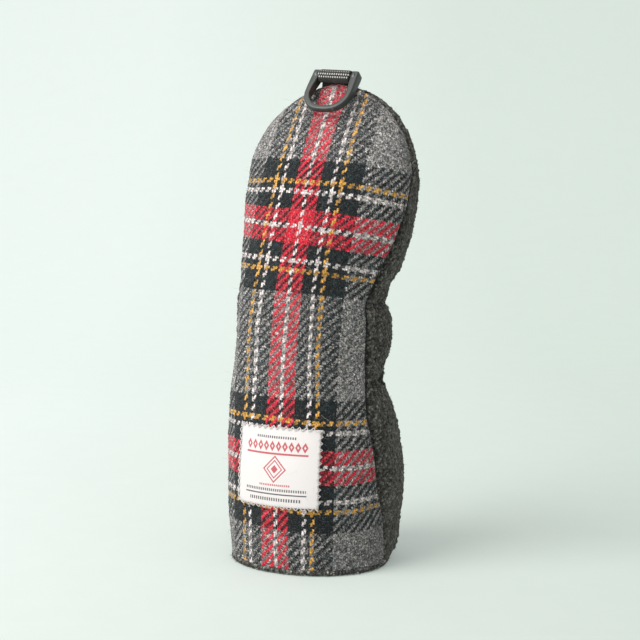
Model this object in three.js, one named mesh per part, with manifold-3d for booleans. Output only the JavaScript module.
// Driver head cover: a tall padded cover that stands on its open bottom edge, with a webbing
// loop and a D-ring on top. Units are millimetres, +Z is up, the tweed front faces -Y, left is
// -X, and the origin is at floor level in the middle of the cover's footprint.

import * as THREE from 'three';
import { mergeVertices } from 'three/addons/utils/BufferGeometryUtils.js';
import Module from 'manifold-3d';

const rad = THREE.MathUtils.degToRad;

// ---------------------------------------------------------------- dimensions
const SPINE_LENGTH = 339; // start of the spine to seam apex, along the lean
const FLOOR = 3.4; // floor level, measured from the start of the spine
const DOME_HEIGHT = 66; // rounded top, part of SPINE_LENGTH
const SHOULDER = SPINE_LENGTH - DOME_HEIGHT;
const COVER_X = -6.12; // puts the footprint's middle on the origin
const COVER_Y = -7.67;

// Exponents for how soon the dome falls away. LEFT, RIGHT and BACK act on 1 - rise^2,
// FRONT and BACK_TAPER on 1 - rise, FRONT_SWELL on 1 + rise; rise runs from 0 to 1 up the dome.
const FALL_LEFT = 0.65;
const FALL_RIGHT = 0.46;
const FALL_FRONT = 0.92;
const FRONT_SWELL = 0.2;
const FALL_BACK = 0.27;
const BACK_TAPER = 0.3;

// Sections up the spine: height, half width, front depth, scale of the gathered back panel,
// and the side seams' angle behind the X axis in degrees.
const SECTIONS = [
  [0, 57.4, 48, 0.97, 4],
  [25, 58.8, 48.4, 1.08, 2],
  [60, 61.6, 47.6, 1.085, -12],
  [95, 62.0, 44.0, 1.045, -20],
  [115, 61.8, 41.1, 1.0, -26.5],
  [127, 61.0, 39.6, 0.935, -27],
  [140, 58.6, 38.5, 0.925, -24.5],
  [160, 57.2, 37.1, 1.03, -24],
  [180, 58.7, 35.9, 0.99, -27.5],
  [193, 59.3, 35.6, 0.90, -31],
  [206, 59.3, 35.4, 0.91, -27],
  [225, 60.3, 35.2, 0.99, -20.5],
  [250, 63.0, 34.4, 1.0, -13],
  [SHOULDER, 61.6, 32.2, 1.04, 1.5],
];
// Height and seam angle over the dome.
const DOME_SEAM = [[SHOULDER + 20, 5.8], [SHOULDER + 45, 4], [SPINE_LENGTH, 0.8]];
// Height and back depth.
const BACK_DEPTHS = [[0, 61], [60, 60], [127, 44], [160, 42], [193, 45], [235, 50], [SHOULDER, 50]];
// Height and lean towards +X in degrees.
const LEANS = [[0, 0], [120, 0], [190, 6.5], [240, 11.5], [SHOULDER, 5], [SPINE_LENGTH, 4.5]];
const GATHER_FADE = 25; // degrees from the seam over which the gather sets in

// Layer thicknesses, and the spaces between layers.
const TWEED = 2.2;
const INTERLINING = 1.4;
const FRONT_LINING = 1.6;
const FLEECE = 3.0;
const BACK_LINING = 1.5;
const ELASTIC = 1.0;
const GAP = 0.4;
const BACK_HOLLOW = 1.8; // room between fleece and lining for the elastics

const THREAD = 0.8;
const FINE_THREAD = 0.7; // hem and label
const TACK_THREAD = 0.6;

const SEAM_GAP = 0.8; // half the width between the panels' edges
const TOP_GAP = 2.3; // half the width where the webbing is sewn in
const WIDENING_START = SHOULDER + 20; // the gap widens from here
const WIDENING_LENGTH = 35;
const SEAM_INSET = 1.3; // depth of the seam threads
const PANEL_BOTTOM = 4.4; // panels' lower edge above the floor

// Panel grid rows: heights up to the shoulder, then degrees up the dome's quarter arc.
const ROWS = [
  FLOOR + PANEL_BOTTOM, 16, 38, 66, 92, 110, 122, 129, 135, 141, 148,
  158, 170, 181, 188, 194, 200, 207, 220, 240, 258, SHOULDER,
];
const DOME_ROWS = [18, 36, 50, 62, 72, 79, 84.5];
const LAST_ROW = ROWS.length + DOME_ROWS.length - 1;
const FRONT = { side: -1, columns: 12 };
const BACK = { side: 1, columns: 16 };

// ---------------------------------------------------------------- shape of the wall
// Monotone cubic curve through [x, y] points, held level beyond both ends.
function curve(points) {
  const last = points.length - 1;
  const xs = points.map(([x]) => x);
  const ys = points.map(([, y]) => y);
  const slopes = [];
  for (let i = 0; i < last; i++) slopes.push((ys[i + 1] - ys[i]) / (xs[i + 1] - xs[i]));
  const tangents = [slopes[0]];
  for (let i = 1; i < last; i++) {
    const before = slopes[i - 1];
    const after = slopes[i];
    const spanBefore = xs[i] - xs[i - 1];
    const spanAfter = xs[i + 1] - xs[i];
    const weightBefore = 2 * spanAfter + spanBefore;
    const weightAfter = spanAfter + 2 * spanBefore;
    tangents.push(before * after <= 0
      ? 0
      : (weightBefore + weightAfter) / (weightBefore / before + weightAfter / after));
  }
  tangents.push(slopes[last - 1]);

  return (x) => {
    if (x <= xs[0]) return ys[0];
    if (x >= xs[last]) return ys[last];
    let i = 0;
    while (x > xs[i + 1]) i++;
    const span = xs[i + 1] - xs[i];
    const part = (x - xs[i]) / span;
    const square = part * part;
    const cube = square * part;
    return ys[i] * (2 * cube - 3 * square + 1)
      + span * tangents[i] * (cube - 2 * square + part)
      + ys[i + 1] * (3 * square - 2 * cube)
      + span * tangents[i + 1] * (cube - square);
  };
}
const sectionColumn = (column) => SECTIONS.map((section) => [section[0], section[column]]);
const halfWidth = curve(sectionColumn(1));
const frontDepth = curve(sectionColumn(2));
const gather = curve(sectionColumn(3));
const seamAngle = curve([...sectionColumn(4), ...DOME_SEAM]);
const backDepth = curve(BACK_DEPTHS);
const leanAngle = curve(LEANS);

// The spine's x and z at each whole millimetre along it.
const spineTable = [[0, 0]];
for (let i = 0; i < SPINE_LENGTH; i++) {
  const lean = rad(leanAngle(i + 0.5));
  const [x, z] = spineTable[i];
  spineTable.push([x + Math.sin(lean), z + Math.cos(lean)]);
}
function spinePoint(height) {
  const i = Math.floor(height);
  const part = height - i;
  const [x0, z0] = spineTable[i];
  const [x1, z1] = spineTable[i + 1];
  return [x0 + (x1 - x0) * part, z0 + (z1 - z0) * part - FLOOR];
}

function smooth(value) {
  const clamped = Math.min(1, Math.max(0, value));
  return clamped * clamped * (3 - 2 * clamped);
}
const domeHeight = (inset) => DOME_HEIGHT - 1.5 * inset;

// A point of the wall: height is along the spine, degrees go round it (-90 is the middle of
// the front), and inset is the depth under the outer face.
function wallPoint(height, degrees, inset, panel) {
  const low = Math.min(height, SHOULDER);
  const rise = Math.max(0, (height - SHOULDER) / domeHeight(inset));
  const roundFall = 1 - rise * rise;
  const cos = Math.cos(rad(degrees));
  const sin = Math.sin(rad(degrees));

  const width = (halfWidth(low) - inset) * Math.pow(roundFall, cos < 0 ? FALL_LEFT : FALL_RIGHT);
  const depth = sin < 0
    ? (frontDepth(low) - inset) * Math.pow(1 - rise, FALL_FRONT) * Math.pow(1 + rise, FRONT_SWELL)
    : (backDepth(low) - inset) * Math.pow(roundFall, FALL_BACK) * Math.pow(1 - rise, BACK_TAPER);

  let scale = 1;
  if (panel === BACK) {
    const seam = seamAngle(height);
    const fromSeam = Math.min(degrees - seam, 180 - seam - degrees);
    scale += (gather(low) - 1) * smooth(fromSeam / GATHER_FADE);
  }
  const across = width * scale * cos;
  const widening = smooth((height - WIDENING_START) / WIDENING_LENGTH);
  const halfGap = SEAM_GAP + (TOP_GAP - SEAM_GAP) * widening;
  const lean = rad(leanAngle(height));
  const [spineX, spineZ] = spinePoint(height);
  return new THREE.Vector3(
    spineX + across * Math.cos(lean),
    depth * scale * sin + panel.side * halfGap,
    spineZ - across * Math.sin(lean),
  );
}

function rowHeight(row, inset) {
  if (row < ROWS.length) return ROWS[row];
  return SHOULDER + domeHeight(inset) * Math.sin(rad(DOME_ROWS[row - ROWS.length]));
}
// A corner of a panel's grid. Front columns run from -X to +X, back columns from +X to -X.
function gridPoint(row, column, inset, panel) {
  const height = rowHeight(row, inset);
  const seam = seamAngle(height);
  const start = panel === BACK ? seam : -180 - seam;
  const sweep = 180 - 2 * panel.side * seam;
  return wallPoint(height, start + sweep * (column / panel.columns), inset, panel);
}
// A point at a fractional row and column, straight between the grid's corners so that
// whatever lies on a panel follows its facets.
function facetPoint(row, column, inset, panel) {
  const i = Math.min(Math.floor(row), LAST_ROW - 1);
  const j = Math.min(Math.floor(column), panel.columns - 1);
  const up = row - i;
  const along = column - j;
  return gridPoint(i, j, inset, panel).multiplyScalar((1 - up) * (1 - along))
    .addScaledVector(gridPoint(i + 1, j, inset, panel), up * (1 - along))
    .addScaledVector(gridPoint(i, j + 1, inset, panel), (1 - up) * along)
    .addScaledVector(gridPoint(i + 1, j + 1, inset, panel), up * along);
}
// Outward direction, taken between the outer face and a layer a little way inside it.
function outward(row, column, panel) {
  const depth = 3;
  const inner = facetPoint(row, column, depth, panel);
  return facetPoint(row, column, 0, panel).sub(inner).normalize();
}

// ---------------------------------------------------------------- solids
function indexedGeometry(positions, index) {
  const geometry = new THREE.BufferGeometry();
  geometry.setAttribute('position', new THREE.BufferAttribute(new Float32Array(positions), 3));
  geometry.setIndex(index);
  geometry.computeVertexNormals();
  return geometry;
}
// Closed solid; the triangles are flipped together if they face inwards.
function solid(points, triangles) {
  let volume = 0;
  for (const [a, b, c] of triangles) {
    volume += points[a].dot(points[b].clone().cross(points[c]));
  }
  const index = triangles.flatMap(([a, b, c]) => (volume < 0 ? [a, c, b] : [a, b, c]));
  return indexedGeometry(points.flatMap((point) => point.toArray()), index);
}
// A sheet: outer(i, j) and inner(i, j) give the points of its two faces.
function sheet(rows, columns, outer, inner) {
  const points = [];
  const triangles = [];
  const stride = columns + 1;
  const faceSize = (rows + 1) * stride;
  for (const face of [outer, inner]) {
    for (let i = 0; i <= rows; i++) {
      for (let j = 0; j <= columns; j++) points.push(face(i, j));
    }
  }
  const quad = (a, b, c, d) => triangles.push([a, b, c], [a, c, d]);
  // A strip closing the sheet's edge between two neighbouring outer points.
  const rim = (from, to) => quad(from, faceSize + from, faceSize + to, to);

  for (let i = 0; i < rows; i++) {
    for (let j = 0; j < columns; j++) {
      const k = i * stride + j;
      const inside = faceSize + k;
      quad(k, k + 1, k + stride + 1, k + stride);
      quad(inside, inside + stride, inside + stride + 1, inside + 1);
    }
  }
  for (let i = 0; i < rows; i++) {
    const start = i * stride;
    const end = start + columns;
    quad(start + stride, faceSize + start + stride, faceSize + start, start);
    rim(end, end + stride);
  }
  for (let j = 0; j < columns; j++) {
    const top = rows * stride + j;
    rim(j, j + 1);
    quad(top + 1, faceSize + top + 1, faceSize + top, top);
  }
  return solid(points, triangles);
}
// Joins equal rings of points, `count` of them, into a tube.
function tubeTriangles(count, sides, closed) {
  const triangles = [];
  for (let i = 0; i < (closed ? count : count - 1); i++) {
    const next = (i + 1) % count;
    for (let k = 0; k < sides; k++) {
      const a = sides * i + k;
      const b = sides * i + (k + 1) % sides;
      const c = sides * next + (k + 1) % sides;
      const d = sides * next + k;
      triangles.push([a, b, c], [a, c, d]);
    }
  }
  return triangles;
}
// A thread: a square-section tube along { point, up } stops, closed into a loop or capped.
function thread(path, size, closed = false) {
  const points = [];
  const count = path.length;
  const half = size / 2;
  path.forEach((stop, i) => {
    const before = path[closed ? (i + count - 1) % count : Math.max(0, i - 1)].point;
    const after = path[closed ? (i + 1) % count : Math.min(count - 1, i + 1)].point;
    const along = after.clone().sub(before).normalize();
    const up = stop.up.clone().addScaledVector(along, -stop.up.dot(along)).normalize();
    const side = along.clone().cross(up);
    for (const [p, q] of [[-half, -half], [half, -half], [half, half], [-half, half]]) {
      points.push(stop.point.clone().addScaledVector(side, p).addScaledVector(up, q));
    }
  });
  const triangles = tubeTriangles(count, 4, closed);
  if (!closed) {
    const end = 4 * (count - 1);
    triangles.push([0, 2, 1], [0, 3, 2], [end, end + 1, end + 2], [end, end + 2, end + 3]);
  }
  return solid(points, triangles);
}

// ---------------------------------------------------------------- panels and seams
function panelLayer(inset, thickness, panel) {
  return sheet(LAST_ROW, panel.columns,
    (i, j) => gridPoint(i, j, inset, panel),
    (i, j) => gridPoint(i, j, inset + thickness, panel));
}

// Elastics lie inside the fleece at the two waists, two grid rows tall and one column short
// of each seam. A thread on the fleece's outer face follows their middle row.
const LOWER_ELASTIC_ROW = ROWS.indexOf(129);
const UPPER_ELASTIC_ROW = ROWS.indexOf(188);
function elastic(row) {
  const inset = FLEECE + GAP;
  return sheet(2, BACK.columns - 2,
    (i, j) => gridPoint(row + i, j + 1, inset, BACK),
    (i, j) => gridPoint(row + i, j + 1, inset + ELASTIC, BACK));
}
function elasticStitching(row) {
  const path = [];
  for (let column = 1; column < BACK.columns; column++) {
    path.push({
      point: gridPoint(row + 1, column, -GAP - THREAD / 2, BACK),
      up: outward(row + 1, column, BACK),
    });
  }
  return thread(path, THREAD);
}

// Seam threads run in the gap between the panels, up to the webbing.
function seamStitching(frontColumn, backColumn) {
  const path = [];
  for (let i = 0; i < LAST_ROW - 1; i++) {
    const front = gridPoint(i, frontColumn, SEAM_INSET, FRONT);
    const back = gridPoint(i, backColumn, SEAM_INSET, BACK);
    path.push({ point: front.add(back).multiplyScalar(0.5), up: new THREE.Vector3(0, 1, 0) });
  }
  return thread(path, THREAD);
}

// ---------------------------------------------------------------- hem
const HEM_STEPS = 56;
const HEM_HEIGHT = 3.0;
const HEM_THREAD_INSET = 1.6;
// Cross-section of the binding: inset, z.
const HEM_PROFILE = [
  [0.2, 0], [6.2, 0], [6.6, 0.5], [6.6, 2.5],
  [6.2, HEM_HEIGHT], [0.2, HEM_HEIGHT], [-0.4, 2.4], [-0.4, 0.6],
];
function hemPoint(step, inset, z) {
  const degrees = -180 + (360 * step) / HEM_STEPS;
  const cos = Math.cos(rad(degrees));
  const sin = Math.sin(rad(degrees));
  const depth = (sin < 0 ? frontDepth(0) : backDepth(0)) - inset;
  const scale = sin > 0
    ? 1 + (gather(0) - 1) * smooth(Math.min(degrees, 180 - degrees) / GATHER_FADE)
    : 1;
  // Front and back stand apart by the seam gap, eased in over the sides.
  const apart = SEAM_GAP * Math.max(-1, Math.min(1, 6 * sin));
  return new THREE.Vector3(
    (halfWidth(0) - inset) * scale * cos,
    depth * scale * sin + apart,
    z,
  );
}
function hemBinding() {
  const points = [];
  for (let k = 0; k < HEM_STEPS; k++) {
    for (const [inset, z] of HEM_PROFILE) points.push(hemPoint(k, inset, z));
  }
  return solid(points, tubeTriangles(HEM_STEPS, HEM_PROFILE.length, true));
}
// Runs midway between the binding's top and the panels' lower edge.
function hemStitching() {
  const path = Array.from({ length: HEM_STEPS }, (_, k) => ({
    point: hemPoint(k, HEM_THREAD_INSET, (HEM_HEIGHT + PANEL_BOTTOM) / 2),
    up: new THREE.Vector3(0, 0, 1),
  }));
  return thread(path, FINE_THREAD, true);
}

// ---------------------------------------------------------------- woven label
// Sides are x in the cover's frame, bottom and top are heights along the spine.
const LABEL = { left: -32.6, right: 30.1, bottom: 50.6, top: 103.9, thickness: 0.8, columns: 12 };
const LABEL_LIFT = GAP + LABEL.thickness; // outer face above the tweed
const ZIGZAG_STEPS = 12; // per edge
const ZIGZAG_REACH = 0.035; // to each side of the edge, as a part of the label's size
const ZIGZAG_CLEARANCE = 0.55;

function rowAt(height) {
  let i = 0;
  while (ROWS[i + 1] < height) i++;
  return i + (height - ROWS[i]) / (ROWS[i + 1] - ROWS[i]);
}
// The front column at a given x, found by halving.
function columnAt(row, x) {
  let low = 0;
  let high = FRONT.columns;
  for (let k = 0; k < 40; k++) {
    const middle = (low + high) / 2;
    if (facetPoint(row, middle, 0, FRONT).x < x) low = middle;
    else high = middle;
  }
  return (low + high) / 2;
}
function labelColumn(row, part) {
  const left = columnAt(row, LABEL.left);
  return left + (columnAt(row, LABEL.right) - left) * part;
}
const labelBottomRow = rowAt(LABEL.bottom);
const labelTopRow = rowAt(LABEL.top);

function wovenLabel() {
  const rows = [labelBottomRow];
  for (let i = Math.floor(labelBottomRow) + 1; i < labelTopRow; i++) rows.push(i);
  rows.push(labelTopRow);
  const face = (inset) => (i, j) => (
    facetPoint(rows[i], labelColumn(rows[i], j / LABEL.columns), inset, FRONT)
  );
  return sheet(rows.length - 1, LABEL.columns, face(-LABEL_LIFT), face(-GAP));
}
// Zigzag thread along the label's four edges, turning outside its corners.
function labelStitching() {
  const lift = LABEL_LIFT + ZIGZAG_CLEARANCE + FINE_THREAD / 2;
  const corners = [[0, 0], [0, 1], [1, 1], [1, 0]]; // up, across
  const beyond = (corner) => (corner ? 1 : -1) * ZIGZAG_REACH;
  const path = [];
  for (let c = 0; c < 4; c++) {
    const [up0, across0] = corners[c];
    const [up1, across1] = corners[(c + 1) % 4];
    for (let k = 0; k < ZIGZAG_STEPS; k++) {
      const swing = k % 2 ? -1 : 1;
      let up = up0 + (up1 - up0) * k / ZIGZAG_STEPS;
      let across = across0 + (across1 - across0) * k / ZIGZAG_STEPS;
      if (k === 0 || up0 === up1) up += swing * beyond(up0);
      if (k === 0 || up0 !== up1) across += swing * beyond(across0);
      const row = rowAt(LABEL.bottom + (LABEL.top - LABEL.bottom) * up);
      const column = labelColumn(row, across);
      const labelRow = Math.min(Math.max(row, labelBottomRow), labelTopRow);
      path.push({
        point: facetPoint(row, column, -lift, FRONT),
        up: outward(labelRow, column, FRONT),
      });
    }
  }
  return thread(path, FINE_THREAD, true);
}

// ---------------------------------------------------------------- webbing on top
const WEBBING_WIDTH = 25;
const WEBBING_THICKNESS = 1.5;
const BAR_RADIUS = 2.7;
const LOOP_INNER = BAR_RADIUS + 0.3; // radius, with clearance round the bar
const LOOP_OUTER = LOOP_INNER + WEBBING_THICKNESS;
const NECK_RADIUS = WEBBING_THICKNESS; // two thicknesses folded together
const LOOP_NECK = 5.8; // fold line to ring bar
const LOOP_LEAN = 45; // degrees forward of upright
const LOOP_ROLL = 4.5; // degrees over to +X, square to the leaning top
const PIVOT_RISE = 0.9; // fold line above the panels' top
const TACK_STEPS = 8;
const TACK_PITCH = 2.4;
const TAIL_LENGTH = 14;
const TAIL_DROP = 0.35; // tail's top below the neck's round foot

// Side profile in the plane across the webbing (rounded foot, neck, loop), extruded in x.
function webbingLoop() {
  const opening = Math.asin(NECK_RADIUS / LOOP_OUTER);
  const profile = new THREE.Shape();
  profile.absarc(0, 0, NECK_RADIUS, Math.PI, 2 * Math.PI, false);
  profile.absarc(0, LOOP_NECK, LOOP_OUTER, -Math.PI / 2 + opening, 1.5 * Math.PI - opening, false);
  profile.closePath();
  const hole = new THREE.Path();
  hole.absarc(0, LOOP_NECK, LOOP_INNER, 0, 2 * Math.PI, true);
  profile.holes.push(hole);
  const web = new THREE.ExtrudeGeometry(profile, {
    depth: WEBBING_WIDTH,
    bevelEnabled: false,
    curveSegments: 12,
  });
  web.translate(0, 0, -WEBBING_WIDTH / 2);
  // Profile x becomes y, profile y becomes z, depth becomes x.
  return web.applyMatrix4(new THREE.Matrix4().makeBasis(
    new THREE.Vector3(0, 1, 0),
    new THREE.Vector3(0, 0, 1),
    new THREE.Vector3(1, 0, 0),
  ));
}
// Zigzag across the front of the neck.
function loopBarTack() {
  const path = [];
  for (let k = 0; k <= TACK_STEPS; k++) {
    const x = (k - TACK_STEPS / 2) * TACK_PITCH;
    path.push({
      point: new THREE.Vector3(x, -(NECK_RADIUS + 0.5), k % 2 ? 1.3 : 0.9),
      up: new THREE.Vector3(0, 1, 0),
    });
  }
  return thread(path, TACK_THREAD);
}
// Both webbing ends, hanging between the panels.
function webbingTail() {
  const tail = new THREE.BoxGeometry(WEBBING_WIDTH - 1, 2 * WEBBING_THICKNESS, TAIL_LENGTH);
  return tail.translate(0, 0, -TAIL_LENGTH / 2);
}

// ---------------------------------------------------------------- D-ring
// Right halves of the ring's outlines, drawn flat: x across, y from the bar's centre
// towards the bow.
const RING_OUTER = [
  [16.6, -4.3], [17.0, 0], [17.3, 6], [17.4, 12], [16.8, 17.6],
  [14.7, 22.6], [11, 26.6], [6, 28.8], [0, 29.4],
];
const RING_INNER = [
  [13.0, -4.3], [13.0, 0], [13.2, 6], [13.5, 12], [13.0, 16.6],
  [11.2, 20.6], [8.2, 23.8], [4.2, 25.4], [0, 25.4],
];
const RING_FRONT = 2.7; // front face ahead of the bar's centre
const RING_THICKNESS = 7.7; // at the bar
const BOW_THICKNESS = 4.4;
const RING_BEVEL = 0.8;
const RING_BAR_LENGTH = 28;
const RING_HANG = 54; // degrees below horizontal

function ringBow() {
  const mirror = ([x, y]) => [-x, y];
  const outline = [
    ...RING_OUTER,
    ...RING_OUTER.slice(0, -1).reverse().map(mirror),
    ...RING_INNER.map(mirror),
    ...RING_INNER.slice(0, -1).reverse(),
  ];
  const shape = new THREE.Shape(outline.map(([x, y]) => new THREE.Vector2(x, y)));
  const bow = new THREE.ExtrudeGeometry(shape, {
    depth: RING_THICKNESS - 2 * RING_BEVEL,
    bevelEnabled: true,
    bevelSize: RING_BEVEL,
    bevelOffset: -RING_BEVEL,
    bevelThickness: RING_BEVEL,
    bevelSegments: 1,
    curveSegments: 1,
  });
  // The back face slopes, so the ring thins from the bar to the bow.
  const position = bow.getAttribute('position');
  const length = RING_OUTER.at(-1)[1];
  for (let k = 0; k < position.count; k++) {
    const part = Math.min(1, Math.max(0, position.getY(k) / length));
    const thickness = RING_THICKNESS + (BOW_THICKNESS - RING_THICKNESS) * part;
    const depth = (position.getZ(k) + RING_BEVEL) * thickness / RING_THICKNESS;
    position.setZ(k, depth - RING_FRONT);
  }
  return bow;
}
async function dRing() {
  const bar = new THREE.CylinderGeometry(BAR_RADIUS, BAR_RADIUS, RING_BAR_LENGTH, 20);
  bar.rotateZ(Math.PI / 2);
  const wasm = await Module();
  wasm.setup();
  const toManifold = (geometry) => {
    geometry.deleteAttribute('normal');
    geometry.deleteAttribute('uv');
    const merged = mergeVertices(geometry, 1e-4);
    return new wasm.Manifold(new wasm.Mesh({
      numProp: 3,
      vertProperties: merged.attributes.position.array,
      triVerts: new Uint32Array(merged.index.array),
    }));
  };
  const joined = toManifold(ringBow()).add(toManifold(bar)).getMesh();
  return indexedGeometry(joined.vertProperties, Array.from(joined.triVerts));
}

// ---------------------------------------------------------------- assembly
const LINING = { color: '#4a4c4b', roughness: 0.9 };
const WHITE_ELASTIC = { color: '#e6e6e2', roughness: 0.8 };
const GREY_THREAD = { color: '#3b3c3a', roughness: 0.8 };
const DARK_THREAD = { color: '#2e2f2e', roughness: 0.8 };
const WEBBING = { color: '#4c4e4c', roughness: 0.85 };

function addMesh(parent, name, look, geometry) {
  const mesh = new THREE.Mesh(geometry, new THREE.MeshStandardMaterial({ ...look, metalness: 0 }));
  mesh.name = name;
  parent.add(mesh);
  return mesh;
}

const group = new THREE.Group();
const cover = new THREE.Group();
cover.position.set(COVER_X, COVER_Y, 0);
group.add(cover);

const interliningInset = TWEED + GAP;
const frontLiningInset = interliningInset + INTERLINING + GAP;
const clothPieces = [
  ['front_panel', { color: '#8f8781', roughness: 0.95 }, panelLayer(0, TWEED, FRONT)],
  ['front_interlining', { color: '#c9c6bd', roughness: 0.95 },
    panelLayer(interliningInset, INTERLINING, FRONT)],
  ['front_lining', LINING, panelLayer(frontLiningInset, FRONT_LINING, FRONT)],
  ['back_panel', { color: '#4c4c48', roughness: 0.98 }, panelLayer(0, FLEECE, BACK)],
  ['back_lining', LINING, panelLayer(FLEECE + BACK_HOLLOW, BACK_LINING, BACK)],
  ['lower_elastic', WHITE_ELASTIC, elastic(LOWER_ELASTIC_ROW)],
  ['upper_elastic', WHITE_ELASTIC, elastic(UPPER_ELASTIC_ROW)],
  ['lower_elastic_stitching', GREY_THREAD, elasticStitching(LOWER_ELASTIC_ROW)],
  ['upper_elastic_stitching', GREY_THREAD, elasticStitching(UPPER_ELASTIC_ROW)],
  ['right_seam_stitching', DARK_THREAD, seamStitching(FRONT.columns, 0)],
  ['left_seam_stitching', DARK_THREAD, seamStitching(0, BACK.columns)],
  ['hem_binding', { color: '#3f413f', roughness: 0.9 }, hemBinding()],
  ['hem_stitching', DARK_THREAD, hemStitching()],
  ['woven_label', { color: '#eceae6', roughness: 0.75 }, wovenLabel()],
  ['label_stitching', { color: '#f4f2ee', roughness: 0.7 }, labelStitching()],
];
for (const [name, look, geometry] of clothPieces) addMesh(cover, name, look, geometry);

// The loop turns about its fold line, just above the panels' top.
const frontTop = gridPoint(LAST_ROW, FRONT.columns / 2, 0, FRONT);
const backTop = gridPoint(LAST_ROW, BACK.columns / 2, 0, BACK);
const pivot = new THREE.Vector3(
  (frontTop.x + backTop.x) / 2,
  0,
  Math.max(frontTop.z, backTop.z) + PIVOT_RISE,
);

const tail = addMesh(cover, 'webbing_tail', WEBBING, webbingTail());
tail.rotation.y = rad(LOOP_ROLL);
tail.position.set(0, 0, -(NECK_RADIUS + TAIL_DROP)).applyEuler(tail.rotation).add(pivot);

const loop = new THREE.Group();
loop.position.copy(pivot);
loop.rotation.set(rad(LOOP_LEAN), rad(LOOP_ROLL), 0, 'YXZ');
addMesh(loop, 'webbing_loop', WEBBING, webbingLoop());
addMesh(loop, 'loop_bar_tack', GREY_THREAD, loopBarTack());
cover.add(loop);

const ring = new THREE.Group();
ring.position.set(0, 0, LOOP_NECK).applyEuler(loop.rotation).add(pivot);
// The flat drawing's y axis turns to point forward and down.
ring.rotation.set(Math.PI + rad(RING_HANG), rad(LOOP_ROLL), 0, 'YXZ');
addMesh(ring, 'd_ring', { color: '#3a3d3b', roughness: 0.45 }, await dRing());
cover.add(ring);

export default group;
